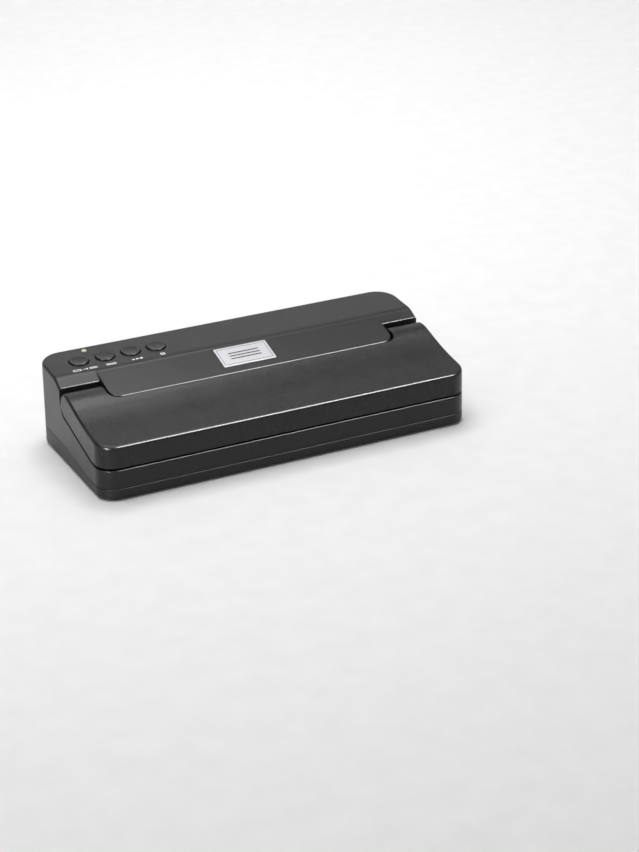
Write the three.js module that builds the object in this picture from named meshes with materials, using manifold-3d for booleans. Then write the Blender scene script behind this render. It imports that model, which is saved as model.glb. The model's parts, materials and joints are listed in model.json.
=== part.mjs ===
// A household vacuum sealer: a low wedge-shaped case with a front lid that hinges up over a sealing bar and a
// vacuum channel, a fixed control panel with a tongue that reaches over the lid's cut-out, and the pump behind.
// Millimetres. X runs along the length, -Y is the front where the bag goes in, +Z is up.
import * as THREE from 'three';
import { mergeVertices } from 'three/addons/utils/BufferGeometryUtils.js';
import Module from 'manifold-3d';

const wasm = await Module();
wasm.setup();

// ---------- driving dimensions ----------
const WIDTH = 360;
const DEPTH = 160;
const SIDE = WIDTH / 2;
const FRONT = -DEPTH / 2;
const REAR = DEPTH / 2;
const WALL = 2.4;
const GAP = 0.3; // between pieces that touch
const CORNER_FRONT = 17.4; // plan radii of the case
const CORNER_REAR = 20.7;

// The bottom cover stands this far off the table on its feet; its seam is low in front, higher at the rear.
const BASE_Z = 1.6;
const FLOOR_Z = BASE_Z + WALL;
const SEAM_FRONT_Z = 11;
const SEAM_REAR_Z = 17.5;
const SEAM_RISE = [-38, 18];

// The fixed top: a nearly level control panel that breaks at a crease into a tongue and two steeper ears.
const CREASE_Y = 30.7;
const CREASE_Z = 76.2;
const PANEL_SLOPE = 0.073;
const TONGUE_SLOPE = 0.295;
const TONGUE_Y = -9.3;
const TONGUE_HALF = 140.5;
const TONGUE_CORNER = 11;
const EAR_SLOPE = 0.525;

// The deck under the lid: level at the front lip, then rising at a steady slope.
const LIP_Z = 28.5;
const LIP_END_Y = -56;
const DECK_SLOPE = 0.25;
const LID_GAP = 1.6;

// The lid turns on two pins; its arms end in a barrel round the hinge, in a pocket of the same centre.
const HINGE_Y = 5;
const HINGE_Z = 57.6;
const BARREL_R = 12.2;
const POCKET_R = 13.8;
const PIN_R = 2;
const CUT_SIDE = 2; // gaps between the tongue and the lid's cut-out
const CUT_FRONT = 1.5;
const CUT_CORNER = 9.5;
const CUT_SWEEP_R = 16.4; // keeps the lid's rear face clear of the tongue as it turns

// The lid's top, from the barrel forward: level, rolling over, then flattening out towards the front.
const LID_TOP = [[10.2, 68.6], [4, 68.5], [-4, 66.9], [-20, 61.8], [-44, 55.9], [-81, 50.2]];

const DECK_ANGLE = Math.atan(DECK_SLOPE);
const PANEL_ANGLE = Math.atan(PANEL_SLOPE);
const TONGUE_ANGLE = Math.atan(TONGUE_SLOPE);
const ARC_STEPS = 10;

// ---------- materials ----------
const paint = (color, roughness, metalness = 0) =>
  new THREE.MeshStandardMaterial({ color, roughness, metalness });
const finishes = {
  shell: paint(0x3b3b3d, 0.45),
  lid: paint(0x3d3d3f, 0.42),
  tray: paint(0x363638, 0.5),
  button: paint(0x343436, 0.4),
  liner: paint(0x2c2c2e, 0.55),
  foam: paint(0x1c1c1d, 0.95),
  silicone: paint(0x6d6f72, 0.7),
  tape: paint(0x9a7448, 0.55),
  steel: paint(0xb9bbbe, 0.3, 1),
  badge: paint(0xd3d4d6, 0.35, 0.6),
  rubber: paint(0x202021, 0.9),
  lens: paint(0xd9dcb4, 0.25),
  board: paint(0x1d5a35, 0.6),
  insulator: paint(0xc9c2ae, 0.7),
  copper: paint(0xb06a34, 0.4, 1),
  hose: paint(0xd8dadb, 0.35),
};

// ---------- geometry helpers ----------
function solidOf(geometry) {
  const bare = geometry.clone();
  bare.deleteAttribute('normal');
  bare.deleteAttribute('uv');
  const merged = mergeVertices(bare, 1e-4);
  return new wasm.Manifold(new wasm.Mesh({
    numProp: 3,
    vertProperties: merged.attributes.position.array,
    triVerts: new Uint32Array(merged.index.array),
  }));
}

function geometryOf(solid) {
  const { vertProperties, triVerts } = solid.getMesh();
  const geometry = new THREE.BufferGeometry();
  geometry.setAttribute('position', new THREE.BufferAttribute(vertProperties, 3));
  geometry.setIndex(new THREE.BufferAttribute(triVerts, 1));
  geometry.computeVertexNormals();
  return geometry;
}

// A solid moved by a matrix; a mirroring matrix turns every triangle round so that it still faces out.
function moved(solid, matrix) {
  const geometry = geometryOf(solid).applyMatrix4(matrix);
  if (matrix.determinant() < 0) {
    const corners = geometry.index.array;
    for (let i = 0; i < corners.length; i += 3) {
      [corners[i], corners[i + 1]] = [corners[i + 1], corners[i]];
    }
  }
  return solidOf(geometry);
}

const shifted = (solid, x, y, z) => moved(solid, new THREE.Matrix4().makeTranslation(x, y, z));

const extrusion = (shape, depth, curveSegments = ARC_STEPS) =>
  new THREE.ExtrudeGeometry(shape, { depth, bevelEnabled: false, curveSegments });

const polygon = (points) => new THREE.Shape(points.map(([a, b]) => new THREE.Vector2(a, b)));

// A side profile, given as [y, z] points, run along X.
function alongX(points, x0, x1) {
  const geometry = extrusion(polygon(points), x1 - x0);
  const axes = new THREE.Matrix4().makeBasis(
    new THREE.Vector3(0, 1, 0), new THREE.Vector3(0, 0, 1), new THREE.Vector3(1, 0, 0));
  return solidOf(geometry.applyMatrix4(axes).translate(x0, 0, 0));
}

const alongZ = (shape, z0, z1, steps) => solidOf(extrusion(shape, z1 - z0, steps).translate(0, 0, z0));

function block(x0, x1, y0, y1, z0, z1) {
  const box = new THREE.BoxGeometry(x1 - x0, y1 - y0, z1 - z0);
  return solidOf(box.translate((x0 + x1) / 2, (y0 + y1) / 2, (z0 + z1) / 2));
}

// An upright round bar.
function rod(x, y, radius, z0, z1, sides = 24) {
  const cylinder = new THREE.CylinderGeometry(radius, radius, z1 - z0, sides).rotateX(Math.PI / 2);
  return solidOf(cylinder.translate(x, y, (z0 + z1) / 2));
}

// A round bar that lies along X.
function bar(y, z, radius, x0, x1, sides = 24) {
  const cylinder = new THREE.CylinderGeometry(radius, radius, x1 - x0, sides).rotateZ(Math.PI / 2);
  return solidOf(cylinder.translate((x0 + x1) / 2, y, z));
}

const union = (...solids) => solids.reduce((sum, one) => sum.add(one));
const cut = (body, ...tools) => tools.reduce((rest, tool) => rest.subtract(tool), body);
const mirrorX = (solid) => moved(solid, new THREE.Matrix4().makeScale(-1, 1, 1));
const bothSides = (solid) => solid.add(mirrorX(solid));

// A rectangle in plan with its own radius for the front and the rear corners.
function roundedPlan(halfX, y0, y1, frontR, rearR) {
  const shape = new THREE.Shape();
  shape.absarc(halfX - frontR, y0 + frontR, frontR, -Math.PI / 2, 0);
  if (rearR > 0) {
    shape.absarc(halfX - rearR, y1 - rearR, rearR, 0, Math.PI / 2);
    shape.absarc(-halfX + rearR, y1 - rearR, rearR, Math.PI / 2, Math.PI);
  } else {
    shape.lineTo(halfX, y1);
    shape.lineTo(-halfX, y1);
  }
  shape.absarc(-halfX + frontR, y0 + frontR, frontR, Math.PI, 1.5 * Math.PI);
  shape.closePath();
  return shape;
}

const casePlan = (inset) =>
  roundedPlan(SIDE - inset, FRONT + inset, REAR - inset, CORNER_FRONT - inset, CORNER_REAR - inset);

// The tongue's outline; its rear end lies inside the control panel.
const tonguePlan = roundedPlan(TONGUE_HALF, TONGUE_Y, CREASE_Y + 4, TONGUE_CORNER, 0);

// What the lid's cut-out takes away, widened by grow.
function lidNotch(grow) {
  const halfX = TONGUE_HALF + CUT_SIDE + grow;
  const plan = roundedPlan(halfX, TONGUE_Y - CUT_FRONT - grow, 60, CUT_CORNER + grow, 0);
  const sweep = bar(HINGE_Y, HINGE_Z, CUT_SWEEP_R + grow, -TONGUE_HALF + 8, TONGUE_HALF - 8, 48);
  return union(alongZ(plan, 0, 100), sweep);
}

const ringPlan = (halfX, halfY, radius, width) => {
  const shape = roundedPlan(halfX, -halfY, halfY, radius, radius);
  shape.holes.push(roundedPlan(halfX - width, -halfY + width, halfY - width, radius - width, radius - width));
  return shape;
};

// ---------- surfaces of the case, as heights over Y ----------
const panelZ = (y) => CREASE_Z + PANEL_SLOPE * (y - CREASE_Y);
const tongueZ = (y) => CREASE_Z + TONGUE_SLOPE * (y - CREASE_Y);
const earZ = (y) => CREASE_Z + EAR_SLOPE * (y - CREASE_Y);
const deckZ = (y) => LIP_Z + DECK_SLOPE * Math.max(0, y - LIP_END_Y);
const seamZ = (y) => {
  const t = Math.min(1, Math.max(0, (y - SEAM_RISE[0]) / (SEAM_RISE[1] - SEAM_RISE[0])));
  return SEAM_FRONT_Z + (SEAM_REAR_Z - SEAM_FRONT_Z) * t;
};

const lidBottomZ = (y) => deckZ(y) + LID_GAP;

// Points on a circle round the hinge in the side view, between two angles in degrees.
function hingeArc(radius, from, to) {
  return Array.from({ length: ARC_STEPS + 1 }, (_, k) => {
    const a = THREE.MathUtils.degToRad(from + ((to - from) * k) / ARC_STEPS);
    return [HINGE_Y + radius * Math.cos(a), HINGE_Z + radius * Math.sin(a)];
  });
}

// The lid's top line, lowered by inset.
function lidTop(inset) {
  const curve = new THREE.SplineCurve(LID_TOP.map(([y, z]) => new THREE.Vector2(y, z - inset)));
  return curve.getPoints(24).map((p) => [p.x, p.y]);
}

const seamLine = (shift) => [
  [FRONT - 1, SEAM_FRONT_Z + shift],
  [SEAM_RISE[0], SEAM_FRONT_Z + shift],
  [SEAM_RISE[1], SEAM_REAR_Z + shift],
  [REAR + 1, SEAM_REAR_Z + shift],
];

// ---------- frames that tilted pieces are built in ----------
const sealer = new THREE.Group();

function frameAt(x, y, z, tilt) {
  const frame = new THREE.Group();
  frame.position.set(x, y, z);
  frame.rotation.x = tilt;
  frame.updateMatrix();
  sealer.add(frame);
  return frame;
}
const deck = frameAt(0, LIP_END_Y, LIP_Z, DECK_ANGLE); // on the deck's rising part, local y up the slope
const panel = frameAt(0, CREASE_Y, CREASE_Z, PANEL_ANGLE); // on the control panel
const tongue = frameAt(0, CREASE_Y, CREASE_Z, TONGUE_ANGLE); // on the tongue

const inFrame = (frame, solid) => moved(solid, frame.matrix);

function place(name, solid, finish, parent = sealer) {
  const mesh = new THREE.Mesh(solid.isBufferGeometry ? solid : geometryOf(solid), finishes[finish]);
  mesh.name = name;
  parent.add(mesh);
  return mesh;
}

// ---------- what sits on the deck, in the deck's frame ----------
const CHANNEL_V = 21.5; // middle of the vacuum channel, up the slope from the lip
const GASKET = { halfX: 152, halfY: 18, radius: 12, width: 6, seat: 3 };
const TROUGH = { halfX: 138, halfY: 10, radius: 8, depth: 9 };
const NOZZLE_X = 118;

const atChannel = (solid) => shifted(solid, 0, CHANNEL_V, 0);
const gasketRing = (grow, w0, w1) => atChannel(alongZ(
  ringPlan(GASKET.halfX + grow, GASKET.halfY + grow, GASKET.radius + grow, GASKET.width + 2 * grow), w0, w1, 6));
const channelBlock = (grow, w0, w1) => {
  const { halfX, halfY, radius } = TROUGH;
  return atChannel(alongZ(
    roundedPlan(halfX + grow, -halfY - grow, halfY + grow, radius + grow, radius + grow), w0, w1, 6));
};

// ---------- the front lip: heater slot, latch slots, lid switch ----------
const HEATER = { y: -69, halfX: 156, halfY: 6 };
const LATCH = { x: 165, y: -64, halfX: 4.5, slot: [-74, -57] };
const SWITCH = { x: 166.5, v: 22 };

// ---------- control panel, in the panel's frame ----------
const BUTTON = { pitch: 24.8, firstX: -147.6, v: 21.4, radius: 8.7, proud: 1.2, clear: 0.5 };
const buttonX = (i) => BUTTON.firstX + BUTTON.pitch * i;
const LAMP = { x: -135.6, v: 40, radius: 2.5 };
const BOARD = { x0: -156, x1: -60, v0: 5, v1: 44, top: -13, thick: 1.6 };
const BADGE = { x: -2.6, v: -18.8, halfX: 26, halfV: 13.4, thick: 0.9, proud: 0.35 };

// ---------- fixings ----------
const SCREWS = [[-120, -46], [0, -46], [120, -46], [-165, 42], [0, 68], [165, 42]];
const POST_Z = 9.8; // where the case's screw posts meet the cover's bosses
const INLET = { x: -105, z: 36, halfX: 12, halfZ: 8.5 };

// ---------- main housing ----------
function mainHousing() {
  const sideProfile = [
    ...seamLine(0),
    [REAR + 1, panelZ(REAR + 1)],
    [CREASE_Y, CREASE_Z],
    [HINGE_Y + POCKET_R, earZ(HINGE_Y + POCKET_R)],
    ...hingeArc(POCKET_R, 0, -90),
    [LIP_END_Y, LIP_Z],
    [FRONT - 1, LIP_Z],
  ];
  const noseProfile = [
    [TONGUE_Y - 1, deckZ(TONGUE_Y) - 2], [CREASE_Y + 3, 40], [CREASE_Y + 3, CREASE_Z - 1],
    [CREASE_Y, CREASE_Z], [TONGUE_Y - 1, tongueZ(TONGUE_Y - 1)],
  ];
  const outer = alongX(sideProfile, -SIDE, SIDE).intersect(alongZ(casePlan(0), 0, 100));
  const nose = alongX(noseProfile, -SIDE, SIDE).intersect(alongZ(tonguePlan, 0, 100));

  const innerY = HINGE_Y + POCKET_R + WALL;
  const cavityProfile = [
    [FRONT, 0], [REAR, 0], [REAR, panelZ(REAR) - WALL], [CREASE_Y + 0.5, CREASE_Z - WALL],
    [innerY, earZ(innerY) - 2.8], ...hingeArc(POCKET_R + WALL, 0, -90),
    [LIP_END_Y + 0.3, LIP_Z - WALL], [FRONT, LIP_Z - WALL],
  ];
  const inner = TONGUE_Y + WALL;
  const noseCavity = [
    [inner, deckZ(inner) - 6], [CREASE_Y + 1, 40], [CREASE_Y + 1, CREASE_Z - WALL],
    [CREASE_Y, CREASE_Z - WALL - 0.2], [inner, tongueZ(inner) - WALL - 0.1],
  ];
  const cavity = alongX(cavityProfile, -SIDE, SIDE).intersect(alongZ(casePlan(WALL), 0, 100));
  const noseHollow = alongX(noseCavity, -TONGUE_HALF + WALL, TONGUE_HALF - WALL);
  const pinBoss = bar(HINGE_Y, HINGE_Z, 5, TONGUE_HALF - 6, TONGUE_HALF - 1);
  let body = union(cut(union(outer, nose), cavity, noseHollow), bothSides(pinBoss));
  body = cut(body, bothSides(bar(HINGE_Y, HINGE_Z, PIN_R + GAP, TONGUE_HALF - 5, TONGUE_HALF + 5)));

  // the tub under the vacuum channel, and the trough, bag stops, gasket groove and port made in it
  const tub = atChannel(alongZ(roundedPlan(GASKET.halfX + 3, -GASKET.halfY - 2, GASKET.halfY + 2,
    GASKET.radius, GASKET.radius), -TROUGH.depth - WALL, -0.5));
  body = union(body, inFrame(deck, tub));
  body = cut(body, inFrame(deck, channelBlock(0, -TROUGH.depth, 5)),
    inFrame(deck, gasketRing(GAP, -GASKET.seat, 5)));
  const stops = [-90, -30, 30].map((x) => rod(x, CHANNEL_V + 3, 2.5, -TROUGH.depth - 1, -0.6, 12));
  body = union(body, ...stops.map((stop) => inFrame(deck, stop)));
  body = cut(body, inFrame(deck, rod(NOZZLE_X, CHANNEL_V, 4 + GAP, -20, 5)));

  // heater slot, latch slots and the lid switch's hole
  const heaterSlot = block(-HEATER.halfX - GAP, HEATER.halfX + GAP,
    HEATER.y - HEATER.halfY - GAP, HEATER.y + HEATER.halfY + GAP, LIP_Z - 10, LIP_Z + 5);
  const heaterTub = block(-HEATER.halfX - 2.5, HEATER.halfX + 2.5,
    FRONT + 1, HEATER.y + HEATER.halfY + 2.3, LIP_Z - 12, LIP_Z - 1);
  const latchSlot = block(LATCH.x - LATCH.halfX - 1, LATCH.x + LATCH.halfX + 1,
    LATCH.slot[0], LATCH.slot[1], LIP_Z - 12, LIP_Z + 5);
  body = cut(union(body, heaterTub), heaterSlot, bothSides(latchSlot),
    inFrame(deck, rod(SWITCH.x, SWITCH.v, 2.6, -8, 5)));

  // guide collars and wells for the buttons, posts for their board, the lamp's hole, the badge's recess
  const fittings = [];
  const holes = [rod(LAMP.x, LAMP.v, LAMP.radius + GAP, -20, 5)];
  for (let i = 0; i < 4; i++) {
    fittings.push(rod(buttonX(i), BUTTON.v, BUTTON.radius + 2.2, -5, -1, 28));
    holes.push(rod(buttonX(i), BUTTON.v, BUTTON.radius + BUTTON.clear, -20, 5, 36));
  }
  for (const x of [BOARD.x0 + 4, BOARD.x1 - 3]) {
    for (const v of [BOARD.v0 + 3, BOARD.v1 - 4]) fittings.push(rod(x, v, 2.4, BOARD.top + GAP, -1, 10));
  }
  body = union(body, ...fittings.map((one) => inFrame(panel, one)));
  body = cut(body, ...holes.map((one) => inFrame(panel, one)), inFrame(tongue, block(
    BADGE.x - BADGE.halfX - GAP, BADGE.x + BADGE.halfX + GAP, BADGE.v - BADGE.halfV - GAP,
    BADGE.v + BADGE.halfV + GAP, BADGE.proud - BADGE.thick - GAP, 5)));

  // screw posts, and the opening for the mains inlet
  for (const [x, y] of SCREWS) {
    const top = y < 0 ? deckZ(y) - 10.5 : panelZ(y) - 1;
    body = cut(union(body, rod(x, y, 4, POST_Z, top, 14)), rod(x, y, 1.2 + GAP, 0, 18, 10));
  }
  return cut(body, block(INLET.x - INLET.halfX - GAP, INLET.x + INLET.halfX + GAP, REAR - 8, REAR + 2,
    INLET.z - INLET.halfZ - GAP, INLET.z + INLET.halfZ + GAP));
}

// ---------- bottom cover ----------
const FEET = [[-150, -60], [150, -60], [-150, 62], [150, 62]];
const FOOT = { radius: 8, top: 3 };
const POWER_BOARD = { x0: -128, x1: -50, y0: 6, y1: 60, z: 12, thick: 1.6 };

function bottomCover() {
  const outline = [[FRONT - 1, BASE_Z], [REAR + 1, BASE_Z], ...seamLine(-GAP).reverse()];
  let body = alongX(outline, -SIDE, SIDE).intersect(alongZ(casePlan(0), 0, 40));
  body = cut(body, alongZ(casePlan(WALL), FLOOR_Z, 40));
  for (const [x, y] of FEET) {
    body = union(body, rod(x, y, FOOT.radius + 2.5, BASE_Z + 1, FLOOR_Z + 1.4));
    body = cut(body, rod(x, y, FOOT.radius + GAP, -1, FOOT.top + GAP));
  }
  for (const [x, y] of SCREWS) {
    body = union(body, rod(x, y, 5.5, BASE_Z + 1, POST_Z - GAP, 16));
    body = cut(body, rod(x, y, 3.5, -1, 5.6, 16), rod(x, y, 1.9, 0, 12, 12));
  }
  const { x0, x1, y0, y1, z } = POWER_BOARD;
  for (const x of [x0 + 5, x1 - 5]) {
    for (const y of [y0 + 5, y1 - 5]) body = union(body, rod(x, y, 3, BASE_Z + 1, z - GAP, 12));
  }
  const vents = [14, 22, 30, 38].map((x) => block(x, x + 3, 10, 42, 0, FLOOR_Z + 1));
  return cut(body, ...vents);
}

// ---------- lid ----------
function lidShell() {
  const outline = [
    [FRONT - 1, lidBottomZ(FRONT)], [LIP_END_Y, lidBottomZ(LIP_END_Y)],
    ...hingeArc(BARREL_R, -90, 64), ...lidTop(0),
  ];
  const outer = alongX(outline, -SIDE, SIDE).intersect(alongZ(casePlan(0), 0, 100));
  const barrelY = HINGE_Y - BARREL_R;
  const hollowProfile = [
    [FRONT - 1, 0], [barrelY, 0], [barrelY, lidBottomZ(barrelY) + WALL],
    ...hingeArc(BARREL_R - WALL, -90, 60), ...lidTop(WALL).filter(([y]) => y < HINGE_Y),
  ];
  const hollow = alongX(hollowProfile, -SIDE, SIDE).intersect(alongZ(casePlan(WALL), 0, 100));
  const boss = bar(HINGE_Y, HINGE_Z, 5, TONGUE_HALF + CUT_SIDE + 0.5, TONGUE_HALF + CUT_SIDE + 5);
  const bore = bar(HINGE_Y, HINGE_Z, PIN_R + GAP, TONGUE_HALF, TONGUE_HALF + 10);
  const body = cut(outer, lidNotch(0), cut(hollow, lidNotch(WALL)));
  return cut(union(body, bothSides(boss)), bothSides(bore));
}

const LINER_LIFT = 0.9; // the liner sits this far inside the lid's rim
const UPPER_SEAT = 1.6;
const underLiner = (LID_GAP + LINER_LIFT) * Math.cos(DECK_ANGLE);

function lidLiner() {
  const bottom = (y) => lidBottomZ(y) + LINER_LIFT;
  const rearY = HINGE_Y - BARREL_R - GAP;
  const profile = [
    [FRONT - 1, bottom(FRONT)], [LIP_END_Y, bottom(LIP_END_Y)], [rearY, bottom(rearY)],
    [rearY, bottom(rearY) + WALL], [LIP_END_Y, bottom(LIP_END_Y) + WALL], [FRONT - 1, bottom(FRONT) + WALL],
  ];
  const plate = alongX(profile, -SIDE, SIDE).intersect(alongZ(casePlan(WALL + GAP), 0, 100));
  let body = cut(plate, lidNotch(WALL + GAP));
  body = union(body, inFrame(deck, channelBlock(0, underLiner, underLiner + 6)));
  body = cut(body, inFrame(deck, channelBlock(-2, underLiner - 4, underLiner + 4)),
    inFrame(deck, gasketRing(GAP, underLiner - 4, underLiner + UPPER_SEAT)));

  // the channel that holds the pressure strip, and the peg that works the lid switch
  body = cut(body, block(-HEATER.halfX, HEATER.halfX, HEATER.y - 4 - GAP, HEATER.y + 4 + GAP, 25, 40));
  const roof = block(-HEATER.halfX - 3, HEATER.halfX + 3, HEATER.y - 7, HEATER.y + 7, 37, 39);
  const cheeks = [-1, 1].map((s) => block(-HEATER.halfX - 3, HEATER.halfX + 3,
    HEATER.y + s * 5.65 - 1.35, HEATER.y + s * 5.65 + 1.35, bottom(FRONT) + 1, 38));
  const peg = inFrame(deck, rod(SWITCH.x, SWITCH.v, 3, 1.4, underLiner + 1, 20));
  return union(body, roof, ...cheeks, peg);
}

// A latch hook hangs from the liner, its nose turned to the rear.
function latchHook() {
  const foot = LIP_Z + LID_GAP + LINER_LIFT - GAP;
  const profile = [
    [LATCH.y - 2, foot], [LATCH.y - 2, 20], [LATCH.y + 3.2, 20], [LATCH.y + 3.2, 22], [LATCH.y + 0.8, 24],
    [LATCH.y + 0.8, foot],
  ];
  return alongX(profile, LATCH.x - LATCH.halfX, LATCH.x + LATCH.halfX);
}

// The keeper is a bent spring clip under the lip, just behind the hook's slot.
function latchKeeper() {
  const y = LATCH.y;
  const profile = [
    [y + 6.6, 25.8], [y + 8, 25.8], [y + 8, 19], [y + 5.4, 17.2], [y + 4.2, 18.4], [y + 3.9, 20.6],
    [y + 4.7, 21.4], [y + 6.6, 19.8],
  ];
  return alongX(profile, LATCH.x - LATCH.halfX, LATCH.x + LATCH.halfX);
}

// ---------- control panel pieces ----------
function turned(half, x, v, sides) {
  const lathe = new THREE.LatheGeometry(half.map(([r, z]) => new THREE.Vector2(r, z)), sides);
  return solidOf(lathe.rotateX(Math.PI / 2).translate(x, v, 0));
}

// A dished cap with a flange below its guide collar and a stem towards the dome on the board.
function buttonCap(x) {
  const { radius, proud } = BUTTON;
  const cap = turned([
    [0, -6.6], [radius + 1.3, -6.6], [radius + 1.3, -5.4], [radius, -5.4], [radius, proud - 0.7],
    [radius - 0.7, proud], [radius * 0.6, proud - 0.35], [0, proud - 0.6],
  ], x, BUTTON.v, 32);
  return union(cap, rod(x, BUTTON.v, 2.2, -8.5, -6, 16));
}

// A rubber dome on the board that pushes the button back up.
const buttonDome = (x) => turned([
  [0, BOARD.top + GAP], [5, BOARD.top + GAP], [5, BOARD.top + 1.2], [2.6, -10.4], [2.2, -9.8], [0, -9.8],
], x, BUTTON.v, 20);

function lampLens() {
  const { radius } = LAMP;
  const dome = [1, 2, 3, 4, 5].map((k) => {
    const a = (k * Math.PI) / 12;
    return [radius * Math.cos(a), 0.1 + Math.sin(a)];
  });
  return turned([
    [0, BOARD.top + 3.6], [radius - 0.4, BOARD.top + 3.6], [radius - 0.4, -1], [radius, -1], [radius, 0.1],
    ...dome, [0, 1.1],
  ], LAMP.x, LAMP.v, 20);
}

// ---------- pump ----------
const PUMP = { y: 44, z: 24, motorX: [52, 96], motorR: 13, caseX: [98, 122] };

function pumpMotor() {
  const { y, z, motorX, motorR } = PUMP;
  const can = union(bar(y, z, motorR, motorX[0], motorX[1], 32), bar(y, z, 4, motorX[0] - 3, motorX[0] + 1),
    bar(y, z, 4, motorX[1] - 1, motorX[1] + 1.5));
  return cut(can, bar(y, z, 1.2 + GAP, motorX[1] - 12, motorX[1] + 5, 16));
}

function pumpCase() {
  const { y, z, caseX } = PUMP;
  const neck = block(caseX[0] + 4, caseX[1] - 2, y - 10, y + 10, z + 18, z + 26);
  const body = union(block(caseX[0], caseX[1], y - 17, y + 17, z - 16, z + 19), neck);
  return cut(body, bar(y, z, 14, caseX[0] + 3, caseX[1] + 1, 36), bar(y, z, 4.4, caseX[0] - 1, caseX[0] + 5),
    rod(caseX[0] + 13, y, 6, z + 10, z + 30, 24));
}

// Motor shaft with the crank disc that drives the diaphragm.
function pumpRotor() {
  const { y, z, motorX, caseX } = PUMP;
  const shaft = bar(y, z, 1.2, motorX[1] - 8, caseX[0] + 14, 16);
  const disc = bar(y, z, 10, caseX[0] + 6, caseX[0] + 11, 32);
  const rim = bar(y, z, 10, caseX[0] + 11, caseX[0] + 13, 32);
  const weight = cut(rim, block(90, 130, y - 12, y + 2, z - 12, z + 12));
  return union(shaft, disc, weight, bar(y - 4, z, 1.6, caseX[0] + 11, caseX[0] + 17, 16));
}

function pumpLid() {
  const { y, z, caseX } = PUMP;
  const x = caseX[1] + GAP;
  return union(block(x, x + 3, y - 17, y + 17, z - 16, z + 19), bar(y, z, 11, x + 2, x + 6, 28));
}

// The diaphragm head plugs the top of the crankcase and carries the hose barb.
function pumpHead() {
  const { y, z, caseX } = PUMP;
  const x = caseX[0] + 13;
  const plug = rod(x, y, 6 - GAP, z + 16, z + 27, 24);
  const cap = block(x - 9, x + 7, y - 10, y + 10, z + 26 + GAP, z + 31);
  const barbY = new THREE.CylinderGeometry(2.4, 2.4, 12, 16);
  return union(plug, cap, solidOf(barbY.translate(x, y - 14, z + 28.6)));
}

// The hose drops from the pump's barb and runs below the channel's tub to the nozzle.
function vacuumHose() {
  const onDeck = (v, w) => new THREE.Vector3(NOZZLE_X, v, w).applyMatrix4(deck.matrix);
  const start = new THREE.Vector3(PUMP.caseX[0] + 13, PUMP.y - 20 - GAP, PUMP.z + 28.6);
  const route = new THREE.CatmullRomCurve3([
    start, start.clone().add(new THREE.Vector3(0, -7, -0.5)), new THREE.Vector3(113, 0, 40),
    new THREE.Vector3(116, -12, 20), onDeck(CHANNEL_V + 3.5, -22.5),
    onDeck(CHANNEL_V, -19), onDeck(CHANNEL_V, -TROUGH.depth - 6 - GAP),
  ], false, 'centripetal');
  const section = new THREE.Shape();
  section.absarc(0, 0, 3, 0, 2 * Math.PI);
  return solidOf(new THREE.ExtrudeGeometry(section, { steps: 28, curveSegments: 5, extrudePath: route }));
}

// The nozzle stands in the channel's floor with its mouth above any spilt liquid.
function nozzle() {
  const flange = rod(NOZZLE_X, CHANNEL_V, 6.2, -TROUGH.depth + GAP, -TROUGH.depth + 1.8, 24);
  const tube = rod(NOZZLE_X, CHANNEL_V, 4, -TROUGH.depth - 6, -TROUGH.depth + 4.5, 24);
  return cut(union(flange, tube), rod(NOZZLE_X, CHANNEL_V, 2, -TROUGH.depth - 8, -TROUGH.depth + 6, 16));
}

// ---------- electrics ----------
function transformerCore() {
  return cut(block(-38, 6, 16, 52, FLOOR_Z + GAP, 34), block(-30.3, -1.7, 0, 70, 8.7, 29.6));
}

function mainsInlet() {
  const { x, z, halfX, halfZ } = INLET;
  const body = block(x - halfX, x + halfX, REAR - 18, REAR - 0.6, z - halfZ, z + halfZ);
  const well = new THREE.Shape();
  well.absarc(-4, 0, 4.6, Math.PI / 2, 1.5 * Math.PI);
  well.absarc(4, 0, 4.6, -Math.PI / 2, Math.PI / 2);
  well.closePath();
  const socket = solidOf(extrusion(well, 14).rotateX(Math.PI / 2).translate(x, REAR + 1, z));
  const bores = [-4, 4].map((d) => {
    const bore = new THREE.CylinderGeometry(1.15 + GAP, 1.15 + GAP, 20, 16);
    return solidOf(bore.translate(x + d, REAR - 12, z));
  });
  return cut(body, socket, ...bores);
}

const inletPin = (offset) =>
  solidOf(new THREE.CylinderGeometry(1.15, 1.15, 14, 16).translate(INLET.x + offset, REAR - 11, INLET.z));

// ---------- assembly ----------
place('main_housing', mainHousing(), 'shell');
place('bottom_cover', bottomCover(), 'tray');
place('lid_shell', lidShell(), 'lid');
place('lid_liner', lidLiner(), 'liner');

['foot_front_left', 'foot_front_right', 'foot_rear_left', 'foot_rear_right'].forEach((name, i) => {
  place(name, rod(...FEET[i], FOOT.radius, 0, FOOT.top), 'rubber');
});
SCREWS.forEach(([x, y], i) => {
  const head = cut(rod(x, y, 3.1, 2.6, 5.3, 20), block(x - 2, x + 2, y - 0.4, y + 0.4, 1, 3.6),
    block(x - 0.4, x + 0.4, y - 2, y + 2, 1, 3.6));
  place(`case_screw_${i + 1}`, union(head, rod(x, y, 1.2, 5, 17, 14)), 'steel');
});

place('lower_gasket', gasketRing(0, -GASKET.seat + GAP, 0.55), 'foam', deck);
place('upper_gasket', gasketRing(0, 0.85, underLiner + UPPER_SEAT - GAP), 'foam', deck);
place('vacuum_nozzle', nozzle(), 'liner', deck);

// the sealing stack: heater bar, heating element and slippery tape below, the pressure strip in the lid
const strip = (halfX, halfY, z0, z1) => block(-halfX, halfX, HEATER.y - halfY, HEATER.y + halfY, z0, z1);
place('heater_bar', strip(HEATER.halfX, HEATER.halfY, LIP_Z - 9.7, LIP_Z - 0.9), 'insulator');
place('heating_element', strip(HEATER.halfX - 4, 1.5, LIP_Z - 0.6, LIP_Z - 0.3), 'steel');
place('sealing_tape', strip(HEATER.halfX - 1, 5, LIP_Z, LIP_Z + 0.25), 'tape');
place('pressure_strip', strip(HEATER.halfX - GAP, 4, LIP_Z + 0.55, 37 - GAP), 'silicone');

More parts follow.
